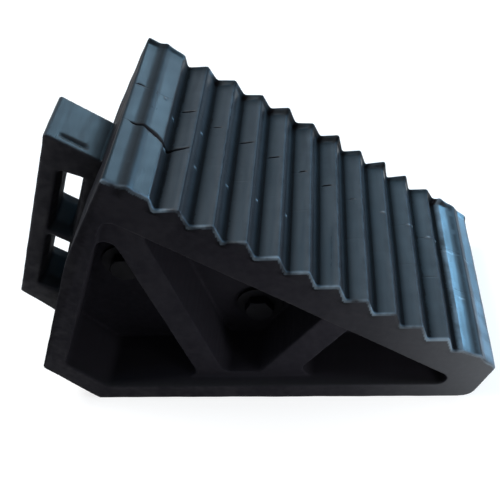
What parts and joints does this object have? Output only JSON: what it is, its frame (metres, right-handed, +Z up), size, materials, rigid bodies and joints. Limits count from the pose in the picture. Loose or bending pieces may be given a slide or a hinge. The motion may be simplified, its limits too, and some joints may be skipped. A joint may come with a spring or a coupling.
{
  "type": "wheel chock",
  "caption": "Wedge-shaped rubber wheel chock with a ribbed ramp, truss pockets in both sides and a grab handle with finger windows, tied across by bolts.",
  "frame": {"origin": "middle of the object's length and width, on the ground under the sole", "axes": "+X along the sole towards the toe, +Y across the width and away from the side that the picture shows, +Z up"},
  "size_m": [0.3122, 0.134, 0.1946],
  "materials": {
    "frame_rubber": "moulded black rubber, matt with a dull sheen",
    "slab_rubber": "moulded black rubber, matt with a dull sheen",
    "bolt_steel": "dark phosphated steel",
    "washer_steel": "dull plated steel"
  },
  "bodies": {
    "root": {"near_side_frame": "frame_rubber", "centre_slab": "slab_rubber", "far_side_frame": "frame_rubber", "rear_tie_bolt": "bolt_steel", "middle_tie_bolt": "bolt_steel", "toe_tie_bolt": "bolt_steel", "rear_head_washer": "washer_steel", "middle_head_washer": "washer_steel", "toe_head_washer": "washer_steel", "rear_nut_washer": "washer_steel", "middle_nut_washer": "washer_steel", "toe_nut_washer": "washer_steel", "rear_lock_nut": "bolt_steel", "middle_lock_nut": "bolt_steel", "toe_lock_nut": "bolt_steel"}
  },
  "joints": []
}
